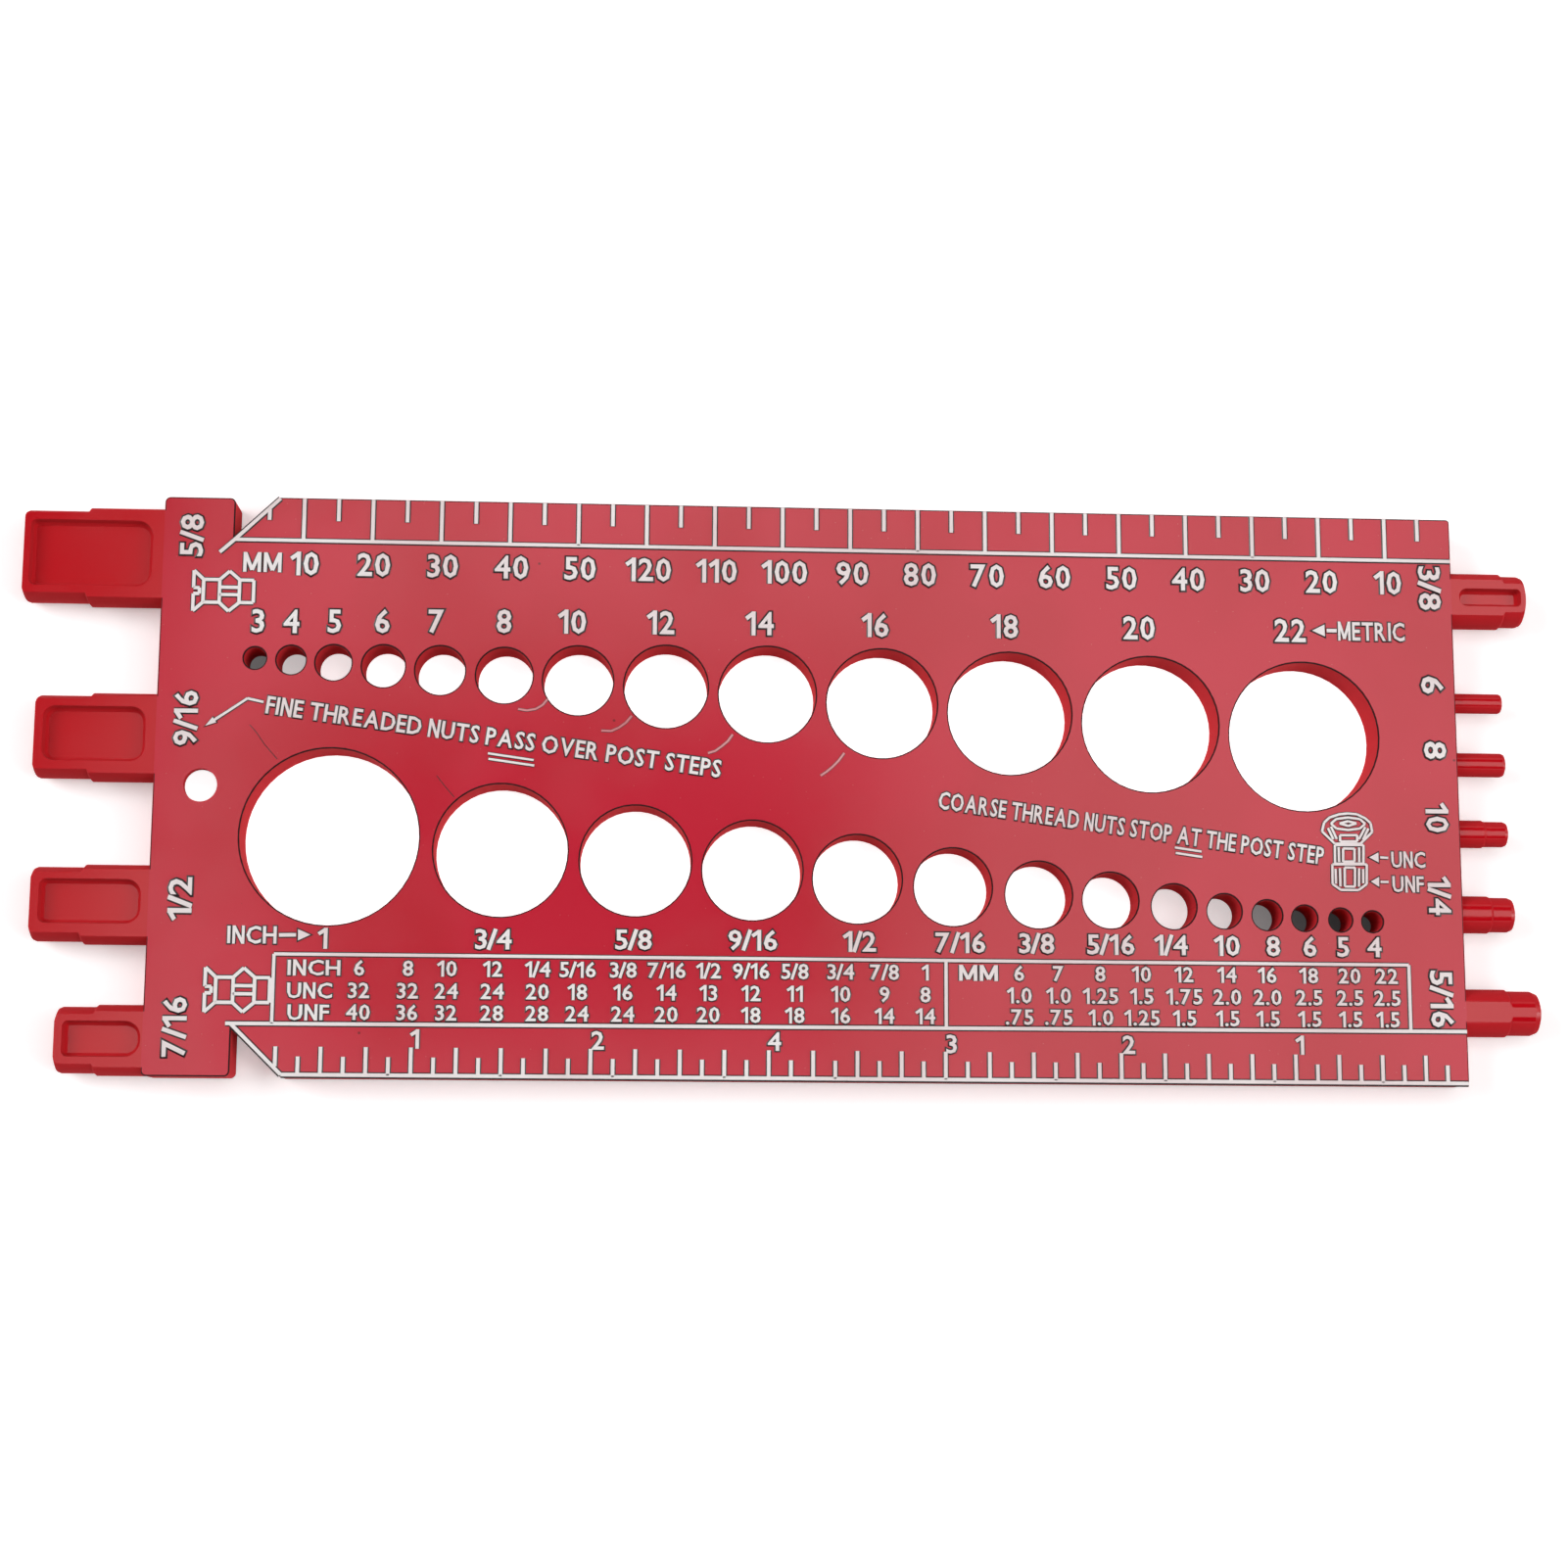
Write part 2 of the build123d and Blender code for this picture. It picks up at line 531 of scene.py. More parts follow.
class TypeCase:
    """The letters and figures of the marks, each modelled once and copied for every label.

    Attributes:
        THICKENING: How far a letter's outline is moved out, as a share of the font's size.
        SHOULDER: Width of its sloping sides, as the same share.
        SLAB: Half its height between the shoulders, as the same share.
        CURVE_STEPS: Steps in each curve of its outline.
        STROKE: Width of a straight letter's bars at their foot, as a share of its height.
        LAYER: Step in height between those bars, so that no two tops coincide.
        SPACE: Width of a space, as a share of a figure's width.
        STROKES: The two ends of each bar of the straight letters.
    """

    THICKENING = 0.013
    SHOULDER = 0.058
    SLAB = 0.004
    CURVE_STEPS = 2
    STROKE = 0.33
    LAYER = 0.012
    SPACE = 0.55
    STROKES: dict[str, tuple[Line, ...]] = {
        "1": (((0.42, 0.0), (0.42, 1.0)), ((0.42, 0.93), (0.1, 0.7))),
        "M": (((0.1, 0.0), (0.1, 1.0)), ((0.82, 0.0), (0.82, 1.0)), ((0.12, 0.95), (0.46, 0.1)),
              ((0.46, 0.1), (0.8, 0.95))),
        "N": (((0.1, 0.0), (0.1, 1.0)), ((0.66, 0.0), (0.66, 1.0)), ((0.12, 0.95), (0.64, 0.05))),
        "/": (((0.1, 0.0), (0.42, 1.0)),),
    }

    def __init__(self, stock: "BarStock") -> None:
        """Take the bar that straight letters are made of, and measure the font's own zero."""
        self.stock = stock
        self.glyphs: dict[str, Glyph] = {}
        zero = self._cast("0")
        low, high = extent(zero)
        self.foot, self.tall = low.y + self.SHOULDER, high.y - low.y - 2 * self.SHOULDER
        bpy.data.objects.remove(zero)
        self.zero_width = self._glyph("0").width

    def _cast(self, text: str) -> Piece:
        """Make a text of the font's own size.

        Args:
            text: What it says.

        Returns:
            Its mesh object, at the origin.
        """
        cast = added(bpy.ops.object.text_add, location=ORIGIN)
        cast.data.body = text
        cast.data.resolution_u = self.CURVE_STEPS
        cast.data.offset = self.THICKENING
        cast.data.extrude = self.SLAB
        cast.data.bevel_depth = self.SHOULDER
        cast.data.bevel_resolution = 0
        bpy.ops.object.convert(target="MESH")
        return bpy.context.object

    def _from_strokes(self, strokes: tuple[Line, ...]) -> Piece:
        """Build a straight letter from bars.

        Args:
            strokes: The two ends of each bar.

        Returns:
            The letter's mesh object.
        """
        bars = []
        for start, end in strokes:
            a, b = Vector((*start, 0.0)), Vector((*end, 0.0))
            bars.append(self.stock.laid(a, b, self.STROKE, 1.0 + self.LAYER * len(bars)))
        return join_all(bars)

    def _glyph(self, letter: str) -> Glyph:
        """Give a letter at unit height, making it the first time.

        Args:
            letter: The letter, figure or sign.

        Returns:
            The letter with its width.
        """
        if letter not in self.glyphs:
            if letter in self.STROKES:
                shape = self._from_strokes(self.STROKES[letter])
                low, high = extent(shape)
                side = self.STROKE * (1 - self.stock.TAPER) / 2
                move = Matrix.Translation((-low.x - side, 0.0, 0.0))
            else:
                shape = self._cast(letter)
                low, high = extent(shape)
                side = self.SHOULDER / self.tall
                size = Matrix.Diagonal((1 / self.tall, 1 / self.tall, 1 / (high.z - low.z), 1.0))
                move = size @ Matrix.Translation((-low.x - self.SHOULDER, -self.foot, -low.z))
            shape.data.transform(move)
            shape.hide_render = True
            self.glyphs[letter] = Glyph(shape, extent(shape)[1].x - side)
        return self.glyphs[letter]

    def raised(self, label: Label, style: LetterStyle, turn: float, rise: float, root: float) -> list[Piece]:
        """Set a label in its place.

        Args:
            label: What it says and where it stands.
            style: Its size.
            turn: How far it is turned on the face, in degrees.
            rise: Height above the face, in millimetres.
            root: Depth below the face, in millimetres.

        Returns:
            One mesh object for each letter, at the origin with its place in its mesh.
        """
        placed, length, count = [], 0.0, len(label.text.replace(" ", ""))
        for letter, following in zip(label.text, label.text[1:] + " "):
            if letter == " ":
                length += self.zero_width * self.SPACE
                continue
            placed.append((self._glyph(letter), length))
            no_gap = "/" in (letter, following) or len(placed) == count
            length += self._glyph(letter).width + (0.0 if no_gap else style.gap)
        pair = 2 * self.zero_width + style.gap
        across = style.pair_width / pair if label.width is None else label.width / length
        sunk = on_face(label.spot) - Vector((0.0, 0.0, root * MM))
        size = Matrix.Diagonal((across * MM, style.height * MM, (rise + root) * MM, 1.0))
        place = Matrix.Translation(sunk) @ Matrix.Rotation(math.radians(turn), 4, "Z") @ size
        letters = []
        for glyph, start in placed:
            letter = own_copy(glyph.shape)
            letter.data.transform(place @ Matrix.Translation((start - length / 2, -0.5, 0.0)))
            letters.append(letter)
        return letters

    def put_away(self) -> None:
        """Remove the letters that the copies were made from."""
        for glyph in self.glyphs.values():
            bpy.data.objects.remove(glyph.shape)
        self.glyphs.clear()


class BarStock:
    """The raised line, modelled once and copied for each line of the marks.

    Attributes:
        TAPER: Width of its top, as a share of its foot.
        ROUNDING: Size of its rounded top edges, on the unit bar.
        ROUNDING_STEPS: Faces across each rounded edge.
    """

    TAPER = 0.5
    ROUNDING = 0.06
    ROUNDING_STEPS = 2

    def __init__(self) -> None:
        """Model a bar of unit length, width and height, with drafted sides and rounded top edges."""
        self.bar = added(bpy.ops.mesh.primitive_cube_add, size=1.0, location=STANDING)
        taper(self.bar, (1.0, self.TAPER, 1.0))
        pick(self.bar, Element.EDGE, lambda ends: on_top(ends) and abs(ends[0].x - ends[1].x) > NEARLY_ONE)
        bpy.ops.mesh.bevel(offset=self.ROUNDING, segments=self.ROUNDING_STEPS, affect="EDGES")
        bpy.ops.object.mode_set(mode="OBJECT")
        self.bar.hide_render = True

    def laid(self, start: Vector, end: Vector, width: float, depth: float) -> Piece:
        """Copy the bar along a line, with its foot at the line's height.

        Args:
            start: One end of the line.
            end: The other end.
            width: Width at its foot.
            depth: Its height.

        Returns:
            The copy, at the origin with its place in its mesh.
        """
        copy = own_copy(self.bar)
        along = end - start
        turned = Matrix.Rotation(math.atan2(along.y, along.x), 4, "Z")
        scale = Matrix.Diagonal((along.length, width, depth, 1.0))
        copy.data.transform(Matrix.Translation((start + end) / 2) @ turned @ scale)
        return copy

    def put_away(self) -> None:
        """Remove the bar that the copies were made from."""
        bpy.data.objects.remove(self.bar)


@dataclass
class Marks:
    """The lines and letters of one group of marks, which end as one piece on the plate.

    Attributes:
        name: The piece's name.
        case: The letters, and the bar that lines are copied from.
        line_width: Width of a line at its foot, in millimetres.
        rise: Height of the marks above the face, in millimetres.
        root: Depth of the marks below the face, in millimetres.
        layer: Step in height between lines that cross, in millimetres.
        layers: Number of such steps.
        parts: The lines and letters made so far.
        HEAD_TOP: Size of the top of an arrow's head, as a share of its foot.
        SMOOTH: Angle up to which faces are shaded as one, in degrees.
        MERGE: Distance up to which points are one, in metres.
    """

    HEAD_TOP: ClassVar[float] = 0.66
    SMOOTH: ClassVar[float] = 35.0
    MERGE: ClassVar[float] = 0.000001

    name: str
    case: TypeCase
    line_width: float
    rise: float
    root: float
    layer: float = 0.002
    layers: int = 5
    parts: list[Piece] = field(default_factory=list)

    @property
    def depth(self) -> float:
        """Height of the next line from its foot, in metres, varied so that no two tops coincide."""
        return (self.rise + self.root + self.layer * (len(self.parts) % self.layers)) * MM

    def line(self, start: Point, end: Point, width: float | None = None) -> None:
        """Raise a straight line.

        Args:
            start: The spot where it starts.
            end: The spot where it ends.
            width: Its width at its foot in millimetres, or None for the group's own.
        """
        sink = Vector((0.0, 0.0, self.root * MM))
        self.parts.append(self.case.stock.laid(on_face(start) - sink, on_face(end) - sink,
                                               (width or self.line_width) * MM, self.depth))

    def path(self, spots: Iterable[Point], closed: bool = False) -> None:
        """Raise a line through several spots.

        Args:
            spots: The spots in order.
            closed: Whether it goes back to the first.
        """
        spots = list(spots)
        ends = spots[1:] + spots[:1] if closed else spots[1:]
        for start, end in zip(spots, ends):
            self.line(start, end)

    def arrow(self, spots: Arrow, half_width: float) -> None:
        """Raise an arrow with a solid head.

        Args:
            spots: The point of its head, the middle of the back of its head, and the end of its shaft.
            half_width: Half the width of its head, in millimetres.
        """
        tip, base, tail = spots
        self.line(base, tail)
        a, b = on_face(tip), on_face(base)
        along = (b - a).normalized()
        side = Vector((-along.y, along.x, 0.0)) * half_width * MM
        head = added(bpy.ops.mesh.primitive_cylinder_add, vertices=3, radius=1.0, depth=1.0,
                     location=STANDING)
        taper(head, (self.HEAD_TOP, self.HEAD_TOP, 1.0))
        bpy.ops.object.mode_set(mode="OBJECT")
        # The unit triangle has one corner at +Y and two below, at two thirds of its height.
        half_side, tall = math.sqrt(3) / 2, 1.5
        middle = a + (b - a) * 2 / 3
        head.data.transform(Matrix((
            (side.x / half_side, (a - b).x / tall, 0.0, middle.x),
            (side.y / half_side, (a - b).y / tall, 0.0, middle.y),
            (0.0, 0.0, self.depth, a.z - self.root * MM),
            (0.0, 0.0, 0.0, 1.0),
        )))
        self.parts.append(head)

    def labels(self, labels: Iterable[Label], style: LetterStyle,
               turn: float = Reading.ALONG.value) -> None:
        """Raise several labels.

        Args:
            labels: The labels.
            style: Their size.
            turn: How far they are turned on the face, in degrees.
        """
        for label in labels:
            self.parts.extend(self.case.raised(label, style, turn, self.rise, self.root))

    def piece(self, material: bpy.types.Material) -> Piece:
        """Join the marks into one closed piece that rides on the plate.

        Args:
            material: Its finish.

        Returns:
            The finished piece.
        """
        piece = join_all(self.parts)
        piece.name = piece.data.name = self.name
        bpy.ops.object.mode_set(mode="EDIT")
        bpy.ops.mesh.select_all(action="SELECT")
        bpy.ops.mesh.remove_doubles(threshold=self.MERGE)
        bpy.ops.mesh.normals_make_consistent(inside=False)
        bpy.ops.object.mode_set(mode="OBJECT")
        bpy.ops.object.shade_smooth_by_angle(angle=math.radians(self.SMOOTH))
        piece.data.materials.clear()
        piece.data.materials.append(material)
        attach(piece, BODY)
        log.info("%s: %d faces", self.name, len(piece.data.polygons))
        return piece


@dataclass
class GaugePlate:
    """The moulded plate, which keeps its CAD shape."""

    finish: RedPlastic = field(default_factory=RedPlastic)

    def dress(self) -> None:
        """Give the plate its finish."""
        plate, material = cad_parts["gauge"], self.finish.material()
        for slot in plate.material_slots:
            slot.material = material
        log.info("gauge: %d faces", len(plate.data.polygons))


@dataclass
class MarkGroup:
    """A group of raised marks, which each kind of group lays out in its own way.

    Attributes:
        NAME: The piece's name.
        LINE_WIDTH: Width of its lines at their foot, in millimetres.
        RISE: Height of its marks above the face, in millimetres.
        ROOT: Depth of its marks below the face, in millimetres.
    """

    NAME: ClassVar[str]
    LINE_WIDTH: ClassVar[float] = 1.0
    RISE: ClassVar[float] = 0.18
    ROOT: ClassVar[float] = 0.06

    def build(self, case: TypeCase, material: bpy.types.Material) -> Piece:
        """Build the group.

        Args:
            case: The letters, and the bar that lines are copied from.
            material: The marks' finish.

        Returns:
            The finished piece.
        """
        marks = Marks(self.NAME, case, self.LINE_WIDTH, self.RISE, self.ROOT)
        self.lay(marks)
        return marks.piece(material)

    def lay(self, marks: Marks) -> None:
        """Raise the marks of this kind of group."""
        raise NotImplementedError


@dataclass
class MetricScale(MarkGroup):
    """Millimetre scale along the upper edge, with its border line and numbers."""

    NAME = "metric_scale"

    edge: float = 84.15
    border_end: float = 0.15
    tick_clearance: float = 0.3
    border: float = 77.85
    half_tick_end: float = 80.85
    corner: Point = (179.9, 77.85)
    tail: Point = (182.0, 75.9)
    flank_top: Point = (173.5, 84.1)
    step: float = 10.0
    steps: int = 17
    number_shift: float = 0.3
    number_height: float = 74.4
    numbers: tuple[int, ...] = (10, 20, 30, 40, 50, 60, 70, 80, 90, 100, 110, 120, 50, 40, 30, 20, 10)
    unit: Label = Label("MM", (175.8, 74.5), 5.5)
    style: LetterStyle = LetterStyle(3.55, 4.75)
    unit_style: LetterStyle = LetterStyle(2.95, 4.4)

    def lay(self, marks: Marks) -> None:
        """Raise the scale's marks."""
        marks.path([(self.border_end, self.border), self.corner, self.flank_top])
        marks.line(self.corner, self.tail)
        for count in range(1, self.steps + 1):
            place = self.step * count
            marks.line((place, self.border), (place, self.edge))
        for count in range(self.steps + 1):
            place = self.step * (count + 0.5)
            top = min(self.edge, self.corner[1] + self.corner[0] - place - self.tick_clearance)
            marks.line((place, self.half_tick_end), (place, top))
        marks.labels((Label(str(number), (self.step * count - self.number_shift, self.number_height))
                      for count, number in enumerate(self.numbers, 1)), self.style)
        marks.labels([self.unit], self.unit_style)


@dataclass
class InchScale(MarkGroup):
    """Inch scale along the lower edge, with its border line and numbers."""

    NAME = "inch_scale"

    edge: float = 0.32
    tick_clearance: float = 0.3
    border_left: Point = (177.9, 7.5)
    border_right: Point = (0.15, 7.8)
    tail: Point = (178.6, 7.5)
    flank_foot: Point = (170.6, 0.35)
    step: float = 3.175
    steps: int = 54
    long_tick_end: float = 4.3
    short_tick_end: float = 2.9
    numbers: tuple[Label, ...] = (
        Label("1", (151.9, 5.5)), Label("2", (126.0, 5.5)), Label("4", (100.8, 5.55)),
        Label("3", (75.35, 5.4)), Label("2", (49.7, 5.5)), Label("1", (24.75, 5.65)),
    )
    style: LetterStyle = LetterStyle(2.75, 4.0)

    def lay(self, marks: Marks) -> None:
        """Raise the scale's marks."""
        marks.path([self.border_right, self.border_left, self.flank_foot, (self.border_right[0], self.edge)])
        marks.line(self.border_left, self.tail)
        for count in range(1, self.steps + 1):
            place = self.step * count
            foot = max(self.edge, self.flank_foot[1] + place - self.flank_foot[0] + self.tick_clearance)
            marks.line((place, foot), (place, self.short_tick_end if count % 2 else self.long_tick_end))
        marks.labels(self.numbers, self.style)


@dataclass
class HoleLabels(MarkGroup):
    """Sizes beside the two rows of holes, with the words and arrows that start each row."""

    NAME = "hole_labels"

    metric: tuple[Label, ...] = (
        Label("3", (176.1, 65.75)), Label("4", (171.3, 65.75)), Label("5", (165.1, 65.9)),
        Label("6", (158.2, 66.0)), Label("7", (150.4, 66.15)), Label("8", (140.6, 66.3)),
        Label("10", (130.7, 66.4)), Label("12", (117.8, 66.5)), Label("14", (103.3, 66.6)),
        Label("16", (86.3, 66.65)), Label("18", (67.2, 66.8)), Label("20", (47.2, 66.9)),
        Label("22", (24.6, 66.9)),
    )
    inch: tuple[Label, ...] = (
        Label("1", (165.3, 19.7)), Label("3/4", (141.1, 19.8)), Label("5/8", (121.1, 19.95)),
        Label("9/16", (104.0, 20.05)), Label("1/2", (88.6, 20.0)), Label("7/16", (74.0, 20.0)),
        Label("3/8", (62.9, 20.0)), Label("5/16", (52.1, 19.95)), Label("1/4", (43.3, 19.95)),
        Label("10", (35.1, 19.95)), Label("8", (28.3, 19.95)), Label("6", (22.9, 19.95)),
        Label("5", (18.0, 19.95)), Label("4", (13.4, 19.95)),
    )
    metric_word: Label = Label("METRIC", (12.4, 66.95), 10.0)
    inch_word: Label = Label("INCH", (175.3, 20.1), 6.9)
    metric_style: LetterStyle = LetterStyle(3.6, 4.7)
    inch_style: LetterStyle = LetterStyle(3.0, 4.35)
    metric_word_style: LetterStyle = LetterStyle(2.9, 4.0)
    inch_word_style: LetterStyle = LetterStyle(2.6, 3.6)
    metric_arrow: Arrow = ((21.9, 66.95), (19.1, 67.0), (17.6, 67.0))
    metric_arrow_half: float = 1.35
    inch_arrow: Arrow = ((166.5, 20.2), (169.1, 20.15), (171.5, 20.1))
    inch_arrow_half: float = 1.2

    def lay(self, marks: Marks) -> None:
        """Raise the labels."""
        marks.labels(self.metric, self.metric_style)
        marks.labels(self.inch, self.inch_style)
        marks.labels([self.metric_word], self.metric_word_style)
        marks.labels([self.inch_word], self.inch_word_style)
        marks.arrow(self.metric_arrow, self.metric_arrow_half)
        marks.arrow(self.inch_arrow, self.inch_arrow_half)


@dataclass
class SizeTable(MarkGroup):
    """Ruled table of thread counts for inch sizes and pitches for metric sizes."""

    NAME = "size_table"
    LINE_WIDTH = 0.88

    left: float = 172.1
    right: float = 8.4
    divider: float = 76.1
    top: float = 17.4
    foot_left: float = 7.5
    foot_right: float = 7.75
    rows: tuple[float, ...] = (15.5, 12.3, 9.2)
    rise_to_right: float = 0.25
    inch_columns: tuple[float, ...] = (160.0, 153.1, 147.6, 141.1, 134.7, 129.0, 122.5, 116.3, 110.3, 104.2,
                                       97.9, 91.3, 85.0, 79.1)
    metric_columns: tuple[float, ...] = (65.5, 59.8, 53.7, 47.7, 41.5, 35.2, 29.3, 23.2, 17.2, 11.7)
    inch_rows: tuple[str, ...] = (
        "6 8 10 12 1/4 5/16 3/8 7/16 1/2 9/16 5/8 3/4 7/8 1",
        "32 32 24 24 20 18 16 14 13 12 11 10 9 8",
        "40 36 32 28 28 24 24 20 20 18 18 16 14 14",
    )
    metric_rows: tuple[str, ...] = (
        "6 7 8 10 12 14 16 18 20 22",
        "1.0 1.0 1.25 1.5 1.75 2.0 2.0 2.5 2.5 2.5",
        ".75 .75 1.0 1.25 1.5 1.5 1.5 1.5 1.5 1.5",
    )
    headers: tuple[Label, ...] = (Label("INCH", (166.4, 15.5), 7.4), Label("UNC", (166.9, 12.25), 6.3),
                                  Label("UNF", (167.0, 9.15), 5.8), Label("MM", (71.4, 15.65), 5.6))
    style: LetterStyle = LetterStyle(2.3, 3.25)

    def lay(self, marks: Marks) -> None:
        """Raise the table's rules, headers and figures."""
        marks.path([(self.left, self.foot_left), (self.left, self.top), (self.right, self.top),
                    (self.right, self.foot_right)])
        marks.line((self.divider, self.top), (self.divider, self.foot_right))
        marks.labels(self.headers, self.style)
        for columns, rows in ((self.inch_columns, self.inch_rows), (self.metric_columns, self.metric_rows)):
            for height, row in zip(self.rows, rows):
                for column, text in zip(columns, row.split()):
                    higher = self.rise_to_right * (self.left - column) / self.left
                    marks.labels([Label(text, (column, height + higher))], self.style)


@dataclass
class PostLabels(MarkGroup):
    """Sizes beside the posts, which read upwards on the left and downwards on the right."""

    NAME = "post_labels"

    left: tuple[Label, ...] = (Label("5/8", (186.1, 78.35), 6.2), Label("9/16", (185.9, 51.3), 8.0),
                               Label("1/2", (185.65, 25.15), 6.1), Label("7/16", (185.7, 6.95), 8.4))
    right: tuple[Label, ...] = (Label("3/8", (3.4, 73.7), 6.6), Label("6", (3.5, 59.0), 2.6),
                                Label("8", (3.4, 49.2), 2.6), Label("10", (3.45, 39.15), 4.3),
                                Label("1/4", (3.5, 27.6), 5.6), Label("5/16", (3.7, 12.5), 8.2))
    style: LetterStyle = LetterStyle(3.4, 4.6)

    def lay(self, marks: Marks) -> None:
        """Raise the labels."""
        marks.labels(self.left, self.style, Reading.UPWARDS.value)
        marks.labels(self.right, self.style, Reading.DOWNWARDS.value)


@dataclass
class ScrewSketches(MarkGroup):
    """Two outline sketches of a countersunk screw with a nut, one for each scale's zero end."""

    NAME = "screw_sketches"
    LINE_WIDTH = 0.93

    places: tuple[tuple[Point, float], ...] = (((181.2, 70.1), 0.95), ((177.05, 12.24), 1.0))
    head: Outline = ((-4.6, 0.46), (-4.6, 3.16), (-3.1, 1.78), (-3.1, -1.78), (-4.6, -3.16), (-4.6, -0.46))
    slot: Outline = ((-4.6, 0.46), (-3.7, 0.46), (-3.7, -0.46), (-4.6, -0.46))
    shank: tuple[Line, ...] = (((-3.1, 1.78), (-0.65, 1.78)), ((-3.1, -1.78), (-0.65, -1.78)))
    nut: Outline = ((-0.65, 1.8), (0.8, 3.13), (2.35, 1.8), (2.35, -1.8), (0.8, -3.13), (-0.65, -1.8))
    nut_lines: tuple[Line, ...] = (((-0.65, 0.6), (2.35, 0.6)), ((-0.65, -0.55), (2.35, -0.55)))
    end: Outline = ((2.35, 1.76), (4.5, 1.76), (4.5, -1.76), (2.35, -1.76))

    def lay(self, marks: Marks) -> None:
        """Raise the sketches' lines."""
        for (from_right, height), scale in self.places:
            def placed(spots: Iterable[Point]) -> list[Point]:
                """Give local spots their places on the face."""
                return [(from_right - x * scale, height + y * scale) for x, y in spots]

            marks.path(placed(self.nut), closed=True)
            for outline in (self.head, self.slot, self.end) + self.shank + self.nut_lines:
                marks.path(placed(outline))


@dataclass
class PostSketch(MarkGroup):
    """Outline sketch of a stepped post with two nuts on it, and an arrow to each."""

    NAME = "post_sketch"
    LINE_WIDTH = 0.67

    nut_rim: Outline = ((18.8, 35.1), (20.65, 36.9), (20.3, 38.2), (19.5, 38.95), (18.1, 39.45), (16.8, 39.6),
                        (15.4, 39.5), (14.15, 38.9), (13.4, 38.2), (13.2, 36.9), (15.0, 35.15))
    nut_face: Outline = ((19.3, 38.05), (18.5, 38.75), (16.75, 39.0), (15.0, 38.8), (14.2, 38.1),
                         (15.0, 37.4), (16.75, 37.15), (18.5, 37.35))
    bore: Outline = ((18.0, 38.1), (16.75, 38.45), (15.5, 38.15), (16.75, 37.75))
    rim_lines: tuple[Line, ...] = (((19.3, 37.6), (18.5, 35.8)), ((14.2, 37.6), (15.2, 35.8)))
    collar: Outline = ((18.0, 36.35), (15.45, 36.4), (15.45, 35.5), (18.0, 35.45))
    upper: Outline = ((18.8, 34.9), (14.55, 34.95), (14.65, 32.2), (18.85, 32.15))
    upper_post: Outline = ((17.6, 34.4), (15.9, 34.4), (15.95, 32.5), (17.65, 32.45))
    lower: Outline = ((19.25, 32.05), (14.15, 32.1), (14.25, 29.2), (15.5, 28.3), (18.1, 28.3), (19.3, 29.15))
    lower_post: Outline = ((17.45, 31.6), (15.9, 31.6), (16.0, 28.8), (17.5, 28.8))
    hatching: tuple[Line, ...] = (
        ((19.75, 37.4), (19.0, 35.75)), ((13.75, 37.4), (14.6, 35.75)), ((18.25, 34.6), (18.25, 32.4)),
        ((15.2, 34.6), (15.25, 32.4)), ((18.8, 31.4), (18.8, 29.2)), ((18.15, 31.5), (18.15, 28.8)),
        ((15.3, 31.5), (15.4, 28.8)), ((14.7, 31.4), (14.75, 29.3)),
    )
    arrows: tuple[Arrow, ...] = (
        ((14.2, 33.15), (12.15, 33.15), (10.95, 33.1)), ((14.0, 29.6), (12.2, 29.55), (11.0, 29.55)),
    )
    arrow_half: float = 1.1
    words: tuple[Label, ...] = (Label("UNC", (7.95, 32.85), 5.0), Label("UNF", (8.1, 29.25), 4.6))
    style: LetterStyle = LetterStyle(2.45, 3.2)

    def lay(self, marks: Marks) -> None:
        """Raise the sketch's lines and words."""
        for outline in (self.nut_rim, self.nut_face, self.bore, self.collar, self.upper, self.upper_post,
                        self.lower, self.lower_post):
            marks.path(outline, closed=True)
        for start, end in self.rim_lines + self.hatching:
            marks.line(start, end)
        for arrow in self.arrows:
            marks.arrow(arrow, self.arrow_half)
        marks.labels(self.words, self.style)


@dataclass
class UsageLines(MarkGroup):
    """Two sloping lines of plain words on how nuts fit the posts, with a leader and underlines."""

    NAME = "usage_lines"
    LINE_WIDTH = 0.7

    upper: Label = Label("FINE THREADED NUTS PASS OVER POST STEPS", (141.6, 49.17), 66.2)
    upper_turn: float = -7.4
    lower: Label = Label("COARSE THREAD NUTS STOP AT THE POST STEP", (48.75, 37.03), 57.0)
    lower_turn: float = -7.62
    leader: Outline = ((182.2, 50.8), (177.2, 54.3), (174.9, 53.8))
    leader_arrow: Arrow = ((183.5, 49.9), (181.6, 51.25), (180.8, 51.8))
    leader_half: float = 0.7
    underlines: tuple[Line, ...] = (((142.5, 46.75), (135.9, 45.85)), ((142.4, 45.95), (135.8, 45.05)),
                                    ((42.45, 34.25), (38.55, 33.7)), ((42.35, 33.45), (38.45, 32.9)))
    underline_width: float = 0.64
    style: LetterStyle = LetterStyle(2.7, 3.3)

    def lay(self, marks: Marks) -> None:
        """Raise the words and their lines."""
        marks.labels([self.upper], self.style, self.upper_turn)
        marks.labels([self.lower], self.style, self.lower_turn)
        marks.path(self.leader)
        marks.arrow(self.leader_arrow, self.leader_half)
        for start, end in self.underlines:
            marks.line(start, end, self.underline_width)


